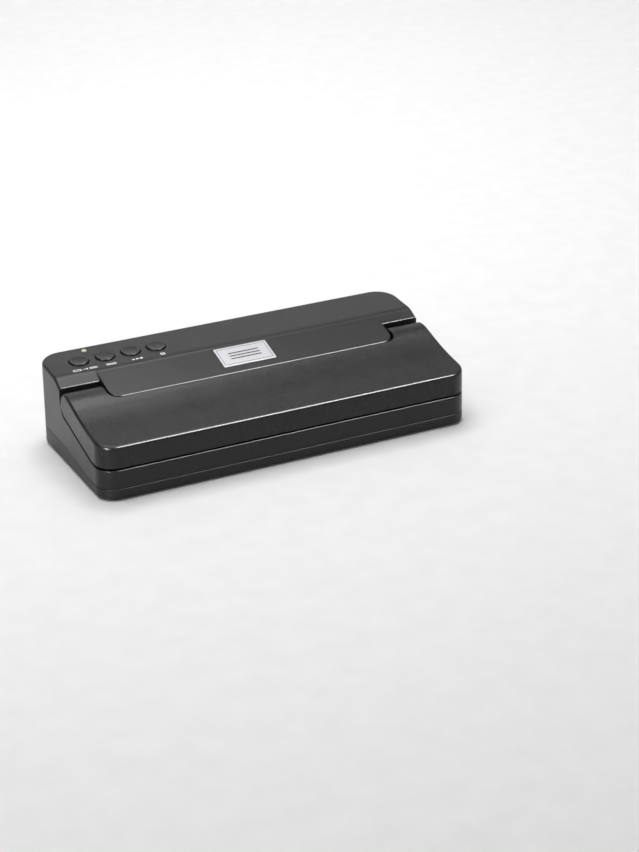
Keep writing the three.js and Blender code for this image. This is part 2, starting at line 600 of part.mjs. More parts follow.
[['left', mirrorX], ['right', (solid) => solid]].forEach(([side, turn]) => {
  const pin = bar(HINGE_Y, HINGE_Z, PIN_R, TONGUE_HALF - 4.5, TONGUE_HALF + 7, 20);
  place(`latch_hook_${side}`, turn(latchHook()), 'liner');
  place(`latch_keeper_${side}`, turn(latchKeeper()), 'steel');
  place(`hinge_pin_${side}`, turn(pin), 'steel');
});

const switchBody = cut(block(SWITCH.x - 5, SWITCH.x + 5, SWITCH.v - 6, SWITCH.v + 6, -14, -WALL - GAP),
  rod(SWITCH.x, SWITCH.v, 2.3, -9, 0, 20));
place('lid_switch', switchBody, 'liner', deck);
place('lid_switch_plunger', rod(SWITCH.x, SWITCH.v, 2, -6.5, 1.05, 20), 'insulator', deck);

['vacuum_seal', 'seal', 'pulse', 'cancel'].forEach((name, i) => {
  place(`button_${name}`, buttonCap(buttonX(i)), 'button', panel);
  place(`button_dome_${name}`, buttonDome(buttonX(i)), 'silicone', panel);
});
const { x0, x1, v0, v1, top, thick } = BOARD;
place('control_board', block(x0, x1, v0, v1, top - thick, top), 'board', panel);
place('lamp_lens', lampLens(), 'lens', panel);
place('lamp_diode', rod(LAMP.x, LAMP.v, 1.9, top + GAP, top + 3.2, 16), 'lens', panel);
place('badge', block(BADGE.x - BADGE.halfX, BADGE.x + BADGE.halfX, BADGE.v - BADGE.halfV, BADGE.v + BADGE.halfV,
  BADGE.proud - BADGE.thick, BADGE.proud), 'badge', tongue);

place('pump_motor', pumpMotor(), 'steel');
place('pump_case', pumpCase(), 'liner');
place('pump_rotor', pumpRotor(), 'steel');
place('pump_case_lid', pumpLid(), 'liner');
place('pump_head', pumpHead(), 'insulator');
place('pump_pad', block(...PUMP.caseX, PUMP.y - 15, PUMP.y + 15, FLOOR_Z + GAP, PUMP.z - 16 - GAP), 'rubber');
place('vacuum_hose', vacuumHose(), 'hose');

place('transformer_core', transformerCore(), 'steel');
place('transformer_coil', block(-30, -2, 10, 58, 9, 29.3), 'copper');
const boardTop = POWER_BOARD.z + POWER_BOARD.thick;
place('power_board', block(POWER_BOARD.x0, POWER_BOARD.x1, POWER_BOARD.y0, POWER_BOARD.y1,
  POWER_BOARD.z, boardTop), 'board');
place('capacitor', rod(-112, 24, 6, boardTop + GAP, 34, 24), 'liner');
place('heat_sink', union(block(-80, -77, 14, 50, boardTop + GAP, 36),
  ...[0, 1, 2, 3].map((i) => block(-78, -68, 14 + 11.3 * i, 16 + 11.3 * i, boardTop + GAP, 36))), 'steel');
place('mains_inlet', mainsInlet(), 'liner');
place('inlet_pin_left', inletPin(-4), 'steel');
place('inlet_pin_right', inletPin(4), 'steel');

export default sealer;
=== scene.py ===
# %% [markdown]
# # A household vacuum sealer
# The appliance is a low wedge: a fixed charcoal case with a control panel, a lid that hinges up over the
# sealing bar, and a bottom cover. The solid frame is already made and packed, so it is loaded first.
# Everything built here sits on that frame, in metres, and moves with one of its bodies.

import json
import math

import bmesh
import bpy
from mathutils import Matrix, Vector


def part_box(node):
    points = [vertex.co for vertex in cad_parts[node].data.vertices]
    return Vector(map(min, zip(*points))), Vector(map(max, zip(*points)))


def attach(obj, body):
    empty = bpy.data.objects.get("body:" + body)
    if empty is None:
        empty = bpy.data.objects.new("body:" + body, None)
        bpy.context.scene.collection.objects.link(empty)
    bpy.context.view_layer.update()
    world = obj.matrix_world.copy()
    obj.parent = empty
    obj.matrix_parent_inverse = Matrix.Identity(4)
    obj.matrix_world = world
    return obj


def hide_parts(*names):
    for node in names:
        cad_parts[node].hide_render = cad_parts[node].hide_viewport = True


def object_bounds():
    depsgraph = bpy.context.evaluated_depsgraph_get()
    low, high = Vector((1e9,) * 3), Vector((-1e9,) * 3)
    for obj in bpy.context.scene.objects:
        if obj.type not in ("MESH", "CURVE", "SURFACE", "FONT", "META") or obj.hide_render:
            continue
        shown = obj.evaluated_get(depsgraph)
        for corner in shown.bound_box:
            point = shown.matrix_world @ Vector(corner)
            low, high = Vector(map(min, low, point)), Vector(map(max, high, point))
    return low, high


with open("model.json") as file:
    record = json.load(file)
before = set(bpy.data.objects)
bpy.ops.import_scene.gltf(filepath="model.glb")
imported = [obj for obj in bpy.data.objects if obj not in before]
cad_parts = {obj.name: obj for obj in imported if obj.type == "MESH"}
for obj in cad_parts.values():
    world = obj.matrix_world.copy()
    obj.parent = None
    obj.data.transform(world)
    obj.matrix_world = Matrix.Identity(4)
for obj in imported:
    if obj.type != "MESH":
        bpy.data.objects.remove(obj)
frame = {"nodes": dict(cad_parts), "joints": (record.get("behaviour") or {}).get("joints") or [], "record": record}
cad_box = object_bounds()
MM = 0.001
joints = {joint["name"]: joint for joint in frame["joints"]}
print("frame box:", [[round(v, 4) for v in corner] for corner in cad_box])

# %% [markdown]
# ## The camera
# A catalogue view from the front left, a little above the counter. The lens is long, about 88 mm, so the
# long parallel edges converge only slightly. The camera is placed by its position and three directions,
# because a turned camera is easier to check that way than by three angles.

# %% Place the camera
camera = bpy.data.objects.new("camera", bpy.data.cameras.new("camera"))
bpy.context.collection.objects.link(camera)
right = Vector((0.894655, -0.446489, -0.015463))
up = Vector((0.197404, 0.364025, 0.910230))
ahead = Vector((0.400779, 0.817394, -0.413815))
turn = Matrix((right, up, -ahead)).transposed()
camera.matrix_world = Matrix.Translation((-0.71356, -1.58923, 0.79343)) @ turn.to_4x4()
camera.data.lens = 87.98
camera.data.sensor_width = 36
camera.data.clip_end = 30
bpy.context.scene.camera = camera
print("camera distance:", round(camera.location.length, 3))

# %% [markdown]
# ## Values that can be used in sums
# A material is a graph of nodes, and each bit of maths in it is a node too. Written by hand that is
# tedious, so this class wraps a socket and lets it stand in an ordinary expression: `1 - mask` adds a
# subtract node. The reflected forms are there so that a plain number may come first.


# %% Sockets in ordinary arithmetic
class Value:
    def __init__(self, tree, socket):
        self.tree = tree
        self.socket = socket

    def math(self, operation, first, second):
        node = self.tree.nodes.new("ShaderNodeMath")
        node.operation = operation
        connect(self.tree, node.inputs[0], first)
        connect(self.tree, node.inputs[1], second)
        return Value(self.tree, node.outputs[0])

    def __add__(self, other):
        return self.math("ADD", self, other)

    def __radd__(self, other):
        return self.math("ADD", other, self)

    def __sub__(self, other):
        return self.math("SUBTRACT", self, other)

    def __rsub__(self, other):
        return self.math("SUBTRACT", other, self)

    def __mul__(self, other):
        return self.math("MULTIPLY", self, other)

    def __rmul__(self, other):
        return self.math("MULTIPLY", other, self)


def connect(tree, slot, value):
    if isinstance(value, Value):
        tree.links.new(value.socket, slot)
    else:
        slot.default_value = value


# %% [markdown]
# ## One way to add any other node
# Every other node comes from one method. It takes the node's type, its settings, which are set first
# because some of them change the sockets, and then the values or links of its sockets by name. `Finish`
# starts a material with its shader and a coordinate that stays fixed to the piece.


# %% A finish is a material under construction
class Finish:
    def __init__(self, name, **shader):
        self.material = bpy.data.materials.new(name)
        self.material.use_nodes = True
        self.tree = self.material.node_tree
        self.shader = self.tree.nodes["Principled BSDF"]
        self.set(**shader)
        self.place = self.node("ShaderNodeTexCoord", {}, "Object")

    def node(self, kind, settings, output, **sockets):
        node = self.tree.nodes.new(kind)
        for key, value in settings.items():
            setattr(node, key, value)
        for key, value in sockets.items():
            connect(self.tree, self.socket(node.inputs, key), value)
        return Value(self.tree, self.socket(node.outputs, output))

    @staticmethod
    def socket(sockets, key):
        # names repeat on some nodes, so the first enabled socket of that name is the one in use
        name = key.replace("_", " ")
        return next(s for s in sockets if s.enabled and (s.identifier == key or s.name == name))

    def noise(self, scale, detail=3.0, roughness=0.5, place=None):
        return self.node(
            "ShaderNodeTexNoise", {"noise_dimensions": "3D"}, "Fac",
            Vector=place or self.place, Scale=scale, Detail=detail, Roughness=roughness,
        )

    def between(self, low, high, signal):
        # a noise keeps mostly to the middle of its range, so that part is spread from low to high
        return self.node(
            "ShaderNodeMapRange", {"clamp": True}, "Result",
            Value=signal, From_Min=0.3, From_Max=0.7, To_Min=low, To_Max=high,
        )

    def blend(self, amount, first, second):
        return self.node(
            "ShaderNodeMix", {"data_type": "RGBA"}, "Result_Color",
            Factor_Float=amount, A_Color=first, B_Color=second,
        )

    def stretch(self, scale):
        return self.node(
            "ShaderNodeVectorMath", {"operation": "MULTIPLY"}, "Vector",
            Vector=self.place, Vector_001=scale,
        )

    def bump(self, height, strength, distance):
        return self.node(
            "ShaderNodeBump", {}, "Normal", Height=height, Strength=strength, Distance=distance,
        )

    def set(self, **shader):
        for key, value in shader.items():
            connect(self.tree, self.socket(self.shader.inputs, key), value)


def rgba(grey_or_rgb, share=1.0):
    rgb = (grey_or_rgb,) * 3 if isinstance(grey_or_rgb, float) else grey_or_rgb
    return tuple(channel * share for channel in rgb) + (1.0,)


# %% [markdown]
# ## Moulded plastic
# The case and the lid are a charcoal plastic whose mould was given a very fine, even grain, so that it
# looks satin and hides fingerprints. Three scales make it: the grain itself as a bump of about half a
# millimetre, a soft change of gloss over a few centimetres where hands have been, and a faint drift of
# colour. One function makes each moulding's own version, so the lid, case and cover differ slightly, as
# real ones do.


# %% Make a moulded plastic
def moulded(name, colour, roughness, grain=0.3, grain_size=0.45, specular=0.33):
    finish = Finish(name, IOR=1.48, Specular_IOR_Level=specular)
    drift = finish.noise(9, 2)  # changes over about 11 cm
    handled = finish.noise(38, 4, 0.6)  # changes over about 3 cm
    fine = finish.noise(1 / (grain_size * MM), 2, 0.6)
    coarse = finish.noise(1 / (3.2 * grain_size * MM), 2)
    specks = finish.between(0, 1, fine)
    base = finish.blend(finish.between(0, 1, drift), rgba(colour, 0.94), rgba(colour, 1.06))
    finish.set(
        Base_Color=finish.blend(specks * 0.18, base, rgba(colour, 1.3)),
        Roughness=finish.between(roughness - 0.02, roughness + 0.03, handled) + specks * 0.03,
        Normal=finish.bump(fine * 0.7 + coarse * 0.3, grain, 0.06 * MM),
    )
    return finish.material


shell_plastic = moulded("charcoal_case", (0.0105, 0.0102, 0.0105), 0.28)
lid_plastic = moulded("charcoal_lid", (0.0112, 0.011, 0.0113), 0.26)
tray_plastic = moulded("charcoal_cover", (0.0105, 0.0102, 0.0105), 0.37, grain=0.45, grain_size=0.6)
button_plastic = moulded("smooth_button", (0.0088, 0.0088, 0.0092), 0.26, grain=0.12, grain_size=0.3)
liner_plastic = moulded("black_liner", (0.0095, 0.0095, 0.01), 0.45, grain=0.3, grain_size=0.8)
pale_plastic = moulded("pale_heatproof", (0.56, 0.52, 0.42), 0.6, grain=0.2, grain_size=0.7)
print("plastics:", len(bpy.data.materials))

# %% [markdown]
# ## Metals, foam, rubber and the rest
# The badge and the small steel parts are brushed, so their noise is stretched a long way along X: that
# gives streaks rather than blotches, in both gloss and bump. The winding is made the same way, but its
# streaks run across the length instead. The gaskets are closed-cell foam, where a Voronoi pattern gives
# small cells, and rubber and silicone take the same plan with a shallower one. The tape is coated glass
# cloth: two sets of waves, crossed and multiplied, give its weave, and a noise gives the scorching that
# it collects in use.


# %% Make the other finishes
def brushed(name, colour, roughness, along=(30, 1400, 1400), depth=0.25):
    finish = Finish(name, Metallic=1.0)
    streaks = finish.noise(1.0, 4, 0.65, finish.stretch(along))
    clouds = finish.noise(25, 3)
    finish.set(
        Base_Color=finish.blend(finish.between(0, 1, clouds), rgba(colour, 0.9), rgba(colour)),
        Roughness=finish.between(roughness - 0.07, roughness + 0.1, streaks),
        Normal=finish.bump(streaks, depth, 0.05 * MM),
    )
    return finish.material


def cellular(name, colour, roughness, cell, depth):
    finish = Finish(name, Specular_IOR_Level=0.25)
    cells = finish.node(
        "ShaderNodeTexVoronoi", {"feature": "F1"}, "Distance", Vector=finish.place, Scale=1 / (cell * MM)
    )
    wear = finish.noise(60, 3)
    finish.set(
        Base_Color=finish.blend(finish.between(0, 1, wear), rgba(colour, 0.8), rgba(colour, 1.25)),
        Roughness=finish.between(roughness - 0.06, roughness + 0.05, wear),
        Normal=finish.bump(cells, depth, 0.2 * MM),
    )
    return finish.material


def woven(name, colour, threads=420.0):
    finish = Finish(name)
    across, along = (
        finish.node("ShaderNodeTexWave", {"bands_direction": way}, "Fac", Vector=finish.place, Scale=threads)
        for way in "XY"
    )
    scorch = finish.noise(45, 4, 0.65)
    finish.set(
        Base_Color=finish.blend(finish.between(0, 1, scorch), rgba(colour, 0.72), rgba(colour, 1.1)),
        Roughness=finish.between(0.42, 0.6, scorch),
        Normal=finish.bump(across * along, 0.4, 0.08 * MM),
    )
    return finish.material


steel = brushed("bright_steel", (0.55, 0.55, 0.57), 0.3)
aluminium = brushed("plain_aluminium", (0.68, 0.68, 0.7), 0.38)
badge_metal = brushed("satin_badge", (0.3, 0.3, 0.31), 0.46, (60, 2600, 2600), 0.3)
copper = brushed("varnished_winding", (0.48, 0.19, 0.07), 0.4, (2500, 60, 60), 0.6)
foam = cellular("closed_cell_foam", (0.022, 0.022, 0.023), 0.88, 0.5, 0.5)
silicone = cellular("grey_silicone", (0.19, 0.195, 0.2), 0.6, 0.9, 0.12)
foot_rubber = cellular("foot_rubber", (0.018, 0.018, 0.018), 0.82, 0.7, 0.25)
hose_silicone = cellular("hose_silicone", (0.6, 0.62, 0.62), 0.4, 1.4, 0.08)
coated_tape = woven("coated_tape", (0.36, 0.22, 0.11))
board_green = moulded("board_mask", (0.015, 0.13, 0.05), 0.35, grain=0.15, grain_size=1.2)
print("finishes:", len(bpy.data.materials))

# %% [markdown]
# ## The indicator and the white prints
# The lamp's lens is a cloudy yellow-green plastic that scatters the light inside it, so it gets
# subsurface scattering, and its colour clouds a little. The symbols beside the buttons are pad-printed
# ink: a thin matt film whose cover varies a little.

# %% Make the lens and the ink
lens = Finish("lamp_lens", IOR=1.49, Subsurface_Weight=0.35, Subsurface_Radius=(0.002, 0.002, 0.001))
cloud = lens.noise(700, 3)
lens.set(
    Base_Color=lens.blend(lens.between(0, 1, cloud), rgba((0.55, 0.58, 0.36)), rgba((0.66, 0.67, 0.48))),
    Roughness=lens.between(0.14, 0.24, cloud),
    Normal=lens.bump(cloud, 0.1, 0.05 * MM),
)
lens_plastic = lens.material

ink = Finish("printed_ink")
cover = ink.noise(2600, 3, 0.7)
ink.set(
    Base_Color=ink.blend(ink.between(0, 1, cover), rgba(0.78), rgba(0.9)),
    Roughness=ink.between(0.5, 0.65, cover),
    Normal=ink.bump(cover, 0.2, 0.03 * MM),
)
white_ink = ink.material

# %% [markdown]
# ## Shapes from two extrusions
# The case, lid and cover are wedges with round corners in plan. The simplest true description of such a
# shape is a side profile pushed through the whole length, cut by a plan outline pushed up through the
# whole height. These helpers make the two kinds of prism. The case's plan narrows slightly towards the
# top: that is the draft a moulding needs to leave its tool. Sizes here are millimetres, turned to metres
# as each mesh is made.

# %% Prisms
SIDE, FRONT, REAR = cad_box[1].x / MM, cad_box[0].y / MM, cad_box[1].y / MM
FRONT_CORNER, REAR_CORNER = 17.4, 20.7
DRAFT = 0.011  # how far a wall leans in for each millimetre up
WALL = 2.4
PAST = 3  # how far a profile runs past the case, so that the plan's cut leaves no skin
print("case:", round(2 * SIDE), "by", round(REAR - FRONT), "mm in plan")


def prism(bottom, top):
    """A closed block between two outlines with the same number of points, given as (x, y, z) in mm."""
    shape = bmesh.new()
    lower = [shape.verts.new(Vector(point) * MM) for point in bottom]
    upper = [shape.verts.new(Vector(point) * MM) for point in top]
    shape.faces.new(list(reversed(lower)))
    shape.faces.new(upper)
    for i in range(len(lower)):
        k = (i + 1) % len(lower)
        shape.faces.new((lower[i], lower[k], upper[k], upper[i]))
    bmesh.ops.recalc_face_normals(shape, faces=shape.faces)
    return shape


def along_length(profile, x0=-SIDE - 5, x1=SIDE + 5):
    return prism([(x0, y, z) for y, z in profile], [(x1, y, z) for y, z in profile])


def arc(cx, cy, radius, start, end, steps=14):
    angles = [math.radians(start + (end - start) * i / steps) for i in range(steps + 1)]
    return [(cx + radius * math.cos(a), cy + radius * math.sin(a)) for a in angles]


def rounded_plan(half, y0, y1, front_corner, rear_corner):
    outline = arc(half - front_corner, y0 + front_corner, front_corner, -90, 0)
    if rear_corner:
        outline += arc(half - rear_corner, y1 - rear_corner, rear_corner, 0, 90)
        outline += arc(rear_corner - half, y1 - rear_corner, rear_corner, 90, 180)
    else:
        outline += [(half, y1), (-half, y1)]
    return outline + arc(front_corner - half, y0 + front_corner, front_corner, 180, 270)


def case_prism(inset, z0=-5, z1=90):
    def outline(z):
        shrink = inset + DRAFT * max(z, 0)
        return [
            (x, y, z)
            for x, y in rounded_plan(
                SIDE - shrink, FRONT + shrink, REAR - shrink, FRONT_CORNER - inset, REAR_CORNER - inset
            )
        ]

    return prism(outline(z0), outline(z1))


def upright(outline, z0=-5, z1=95):
    return prism([(x, y, z0) for x, y in outline], [(x, y, z1) for x, y in outline])


def box_prism(x0, x1, y0, y1, z0, z1):
    return upright([(x0, y0), (x1, y0), (x1, y1), (x0, y1)], z0, z1)


# %% [markdown]
# ## Turned shapes
# Buttons, lenses and round holes are shapes from a lathe, so each is half an outline spun about its axis.
# A round hole is cut with a turned tool. The hinge's cylinders lie along the length instead of standing
# up.


# %% Turned solids
def turned(profile, segments=64):
    """A turned solid from (radius, height) points in mm; the first and last points lie on the axis."""
    shape = bmesh.new()
    rings = []
    for radius, height in profile:
        if radius == 0:
            rings.append([shape.verts.new((0, 0, height * MM))])
            continue
        rings.append([
            shape.verts.new((
                radius * MM * math.cos(2 * math.pi * i / segments),
                radius * MM * math.sin(2 * math.pi * i / segments),
                height * MM,
            ))
            for i in range(segments)
        ])
    for low, high in zip(rings, rings[1:]):
        for i in range(segments):
            k = (i + 1) % segments
            loop = [low[i % len(low)], low[k % len(low)], high[k % len(high)], high[i % len(high)]]
            shape.faces.new(list(dict.fromkeys(loop)))
    bmesh.ops.recalc_face_normals(shape, faces=shape.faces)
    return shape


def cylinder_x(y, z, radius, x0, x1, segments=48):
    shape = turned([(0, x0), (radius, x0), (radius, x1), (0, x1)], segments)
    shape.transform(Matrix.Translation((0, y * MM, z * MM)) @ Matrix.Rotation(math.pi / 2, 4, "Y"))
    return shape


# %% [markdown]
# ## Cutting and joining
# A boolean with the exact solver keeps flat faces whole, which is what the edge rounding needs
# afterwards. Each tool mesh is used once and thrown away. Several tools that don't touch each other can
# share one mesh, so one cut does them all.


# %% Booleans and joining
def as_object(shape, name):
    mesh = bpy.data.meshes.new(name)
    shape.to_mesh(mesh)
    shape.free()
    made = bpy.data.objects.new(name, mesh)
    bpy.context.collection.objects.link(made)
    return made


def gathered(shapes):
    whole = bmesh.new()
    for shape in shapes:
        mesh = bpy.data.meshes.new("part")
        shape.to_mesh(mesh)
        shape.free()
        whole.from_mesh(mesh)
        bpy.data.meshes.remove(mesh)
    return whole


def settle(thing):
    """Works the modifiers into the mesh."""
    graph = bpy.context.evaluated_depsgraph_get()
    old = thing.data
    thing.data = bpy.data.meshes.new_from_object(thing.evaluated_get(graph))
    thing.modifiers.clear()
    bpy.data.meshes.remove(old)
    return thing


def shape_of(thing):
    """The object's shape, ready to be a tool; the object itself goes."""
    shape = bmesh.new()
    shape.from_mesh(thing.data)
    bpy.data.objects.remove(thing)
    return shape


def combine(thing, operation, *shapes):
    for shape in shapes:
        tool = as_object(shape, "tool")
        step = thing.modifiers.new("combine", "BOOLEAN")
        step.operation = operation
        step.solver = "EXACT"
        step.object = tool
        settle(thing)
        mesh = tool.data
        bpy.data.objects.remove(tool)
        bpy.data.meshes.remove(mesh)
    return thing


# %% [markdown]
# ## Rounding chosen edges
# A real moulding has no sharp edge: the light that catches on its rounded edges is what makes it look
# real. Each edge that bends enough gets a radius from a rule that looks at where the edge is. The radius
# is stored as a weight, and one bevel rounds them all together so that the corners between them close
# properly. Clamping is off, because it would cut every radius down to suit the shortest edge, so the
# rules keep each radius small enough for the edges beside it.


# %% Round edges by a rule
def round_edges(thing, rule, segments=4, least_bend=22):
    shape = bmesh.new()
    shape.from_mesh(thing.data)
    bmesh.ops.remove_doubles(shape, verts=shape.verts, dist=0.002 * MM)
    bmesh.ops.dissolve_limit(shape, angle_limit=math.radians(0.05), verts=shape.verts, edges=shape.edges)
    layers = shape.edges.layers.float
    weights = layers.get("bevel_weight_edge") or layers.new("bevel_weight_edge")
    widest = 0.0
    for edge in shape.edges:
        if len(edge.link_faces) != 2 or edge.calc_face_angle(0) < math.radians(least_bend):
            continue
        middle = (edge.verts[0].co + edge.verts[1].co) / 2 / MM
        edge[weights] = rule(middle, edge) or 0
        widest = max(widest, edge[weights])
    for edge in shape.edges:
        edge[weights] /= widest
    shape.to_mesh(thing.data)
    shape.free()
    bevel = thing.modifiers.new("round", "BEVEL")
    bevel.limit_method = "WEIGHT"
    bevel.width = widest * MM
    bevel.segments = segments
    bevel.use_clamp_overlap = False
    bevel.miter_outer = "MITER_SHARP"
    return settle(thing)


# %% [markdown]
# ## Smooth shading and finishing a piece
# The rounded edges are shaded smoothly into the flats beside them, and the flats keep their own
# direction, so they look truly flat. Then each piece gets its material and the body that it rides on,
# and the frame nodes that it stands for are hidden.


# %% Smooth a piece and finish it
def smooth(thing, angle=32):
    thing.data.shade_smooth()
    thing.data.set_sharp_from_angle(angle=math.radians(angle))
    normals = thing.modifiers.new("even_normals", "WEIGHTED_NORMAL")
    normals.keep_sharp = True
    normals.weight = 50
    return thing


def finish_piece(thing, body, material, slot, *nodes):
    thing.data.materials.clear()
    thing.data.materials.append(material)
    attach(thing, body)
    if nodes:
        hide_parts(*nodes)
    print(thing.name, "faces:", len(thing.data.polygons))
    return thing


# %% [markdown]
# ## The case's lines
# From the side the case is a nearly level control panel that breaks at a crease into a tongue in the
# middle and two steeper ears. In front of the ears a round pocket takes the lid's barrel, and the deck
# slopes down from it to the level front lip. The crease is a soft one, so it is a short curve instead of
# a corner.

# %% Heights of the panel, tongue, ears and deck
hinge = joints["lid_hinge"]["pos_m"]
HINGE_Y, HINGE_Z = hinge[1] / MM, hinge[2] / MM
CREASE_Y, CREASE_Z = 30.7, 76.2
TONGUE_Y, TONGUE_HALF = -9.3, 140.5
POCKET, BARREL = 13.8, 12.2
LIP_Z, LIP_END = 28.5, -56
PANEL_SLOPE, TONGUE_SLOPE, EAR_SLOPE, DECK_SLOPE = 0.073, 0.295, 0.525, 0.25  # rise for each mm back
SEAM_LOW, SEAM_HIGH = 11, 17.5


def panel_z(y):
    return CREASE_Z + PANEL_SLOPE * (y - CREASE_Y)


def tongue_z(y):
    return CREASE_Z + TONGUE_SLOPE * (y - CREASE_Y)


def ear_z(y):
    return CREASE_Z + EAR_SLOPE * (y - CREASE_Y)


def deck_z(y):
    return LIP_Z + DECK_SLOPE * max(0.0, y - LIP_END)


def curve(start, corner, end, steps=6):
    points = []
    for i in range(steps + 1):
        t = i / steps
        points.append(tuple(
            (1 - t) ** 2 * a + 2 * t * (1 - t) * b + t * t * c for a, b, c in zip(start, corner, end)
        ))
    return points


def crease(slope_z, reach=4.0):
    near, far = CREASE_Y - reach, CREASE_Y + reach
    return curve((far, panel_z(far)), (CREASE_Y, CREASE_Z), (near, slope_z(near)))


seam = [(FRONT - PAST, SEAM_LOW), (-38, SEAM_LOW), (18, SEAM_HIGH), (REAR + PAST, SEAM_HIGH)]
pocket = arc(HINGE_Y, HINGE_Z, POCKET, 0, -90, 16)
case_profile = [
    *seam,
    (REAR + PAST, panel_z(REAR + PAST)),
    *crease(ear_z),
    (HINGE_Y + POCKET, ear_z(HINGE_Y + POCKET)),
    *pocket,
    *curve((LIP_END + 5, deck_z(LIP_END + 5)), (LIP_END, LIP_Z), (LIP_END - 5, LIP_Z), 4),
    (FRONT - PAST, LIP_Z),
]
tongue_profile = [
    (TONGUE_Y - PAST, deck_z(TONGUE_Y) - 2),
    (CREASE_Y + 6, 40),
    (CREASE_Y + 6, panel_z(CREASE_Y + 6) - 0.6),
    *crease(tongue_z),
    (TONGUE_Y - PAST, tongue_z(TONGUE_Y - PAST)),
]
print("hinge at", round(HINGE_Y, 1), round(HINGE_Z, 1))

# %% [markdown]
# ## The upper case
# The body comes from its profile and plan, and the tongue is joined on. Then the edges are rounded: 2.6
# mm round the top, and under 1 mm at the seam, along the lid and on the ears, where tight edges make an
# even parting line. The tongue's own edge grows rounder towards its front, up to 1.3 mm. Holes are cut
# after the rounding, so that the bevel never meets them.

# %% Body and tongue
case = as_object(along_length(case_profile), "upper_case")
combine(case, "INTERSECT", case_prism(0))
tongue_plan = rounded_plan(TONGUE_HALF, TONGUE_Y, CREASE_Y + 7, 11, 0)
tongue = as_object(along_length(tongue_profile), "tongue")
combine(tongue, "INTERSECT", upright(tongue_plan))
combine(case, "UNION", shape_of(tongue))


def case_radius(middle, edge):
    x, y, z = middle
    outside = abs(x) > SIDE - 3 or y < FRONT + 20 or y > REAR - 22
    if not edge.is_convex:
        return 0
    if z < 20 and z < 11.5 + max(0, (y + 38)) * 0.12:
        return 0.3  # the seam
    if abs(x) < TONGUE_HALF + 1 and y < 26 and z > 60:
        return 0.45 + 0.85 * min(1.0, max(0.0, (1.7 - y) / 9))  # the tongue's own edge
    if abs(y - HINGE_Y - POCKET) < 0.6 and z > 57:
        return 0.9  # the ears' lips and front corners
    if outside and y > HINGE_Y + POCKET and z > 60:
        return 2.6  # round the top
    if outside and z < 60:
        return 0.8  # the edge along the parting line
    return 0


round_edges(case, case_radius)
print("case box:", [round(v / MM, 2) for v in case.bound_box[6]])

# %% [markdown]
# ## Hollow inside, and the tub under the channel
# The case is a 2.4 mm wall round the pump and boards. The vacuum channel is a long tub that hangs below
# the sloping deck, so the tub is built square to the deck in a tilted frame and joined on after
# hollowing. The heater bar's tub stands straight up under the lip.

# %% Hollow the case and add its tubs
def frame_at(y, z, slope):
    return Matrix.Translation((0, y * MM, z * MM)) @ Matrix.Rotation(math.atan(slope), 4, "X")


ON_DECK = frame_at(LIP_END, LIP_Z, DECK_SLOPE)
ON_PANEL = frame_at(CREASE_Y, CREASE_Z, PANEL_SLOPE)
ON_TONGUE = frame_at(CREASE_Y, CREASE_Z, TONGUE_SLOPE)
CHANNEL_V = 21.5  # the channel's middle, up the deck from the lip


def set_in(where, shape, x=0.0, v=0.0):
    shape.transform(where @ Matrix.Translation((x * MM, v * MM, 0)))
    return shape


def slot_plan(half_x, half_v, corner, steps=10):
    outline = arc(half_x - corner, corner - half_v, corner, -90, 0, steps)
    outline += arc(half_x - corner, half_v - corner, corner, 0, 90, steps)
    outline += arc(corner - half_x, half_v - corner, corner, 90, 180, steps)
    return outline + arc(corner - half_x, corner - half_v, corner, 180, 270, steps)


inner_y = HINGE_Y + POCKET + WALL
cavity = as_object(along_length([
    (FRONT, -4), (REAR, -4), (REAR, panel_z(REAR) - WALL), (CREASE_Y + 4, panel_z(CREASE_Y + 4) - WALL),
    (CREASE_Y, CREASE_Z - WALL - 0.8), (inner_y, ear_z(inner_y) - 2.8),
    *arc(HINGE_Y, HINGE_Z, POCKET + WALL, 0, -90, 12), (LIP_END, LIP_Z - WALL), (FRONT, LIP_Z - WALL),
]), "cavity")
combine(cavity, "INTERSECT", case_prism(WALL))
inner = TONGUE_Y + WALL
under_tongue = along_length([
    (inner, deck_z(inner) - 6), (CREASE_Y + 1, 40), (CREASE_Y + 1, CREASE_Z - WALL - 0.9),
    (inner, tongue_z(inner) - WALL - 0.1),
], -TONGUE_HALF + WALL, TONGUE_HALF - WALL)
combine(case, "DIFFERENCE", shape_of(cavity), under_tongue)
tub = set_in(ON_DECK, upright(slot_plan(155, 20, 10), -11.4, -0.5), v=CHANNEL_V)
combine(case, "UNION", tub, box_prism(-158.5, 158.5, FRONT + 1.2, -60.7, 16.5, 27.5))

# %% [markdown]
# ## Holes and recesses
# The tool for a button, the lamp or the lid switch has a flare at its mouth, and the flare leaves the
# small bevel that catches the light round a real hole. The gasket's groove is a ring: an outer block with
# an inner one taken out of it. Three small posts in the channel stop a bag that is pushed in too far.

# %% Cut the deck
heater = [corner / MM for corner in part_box("heater_bar")]
combine(
    case, "DIFFERENCE",
    set_in(ON_DECK, upright(slot_plan(138, 10, 8), -9, 5), v=CHANNEL_V),
    box_prism(heater[0].x - 0.3, heater[1].x + 0.3, heater[0].y - 0.3, heater[1].y + 0.3, 18.5, 34),
)
ring = as_object(set_in(ON_DECK, upright(slot_plan(152.3, 18.3, 12.3), -3, 5), v=CHANNEL_V), "ring")
combine(ring, "DIFFERENCE", set_in(ON_DECK, upright(slot_plan(145.7, 11.7, 5.7), -8, 9), v=CHANNEL_V))
combine(case, "DIFFERENCE", shape_of(ring))


def middle_x(corners):
    return sum(corner.x for corner in corners) / 2 / MM


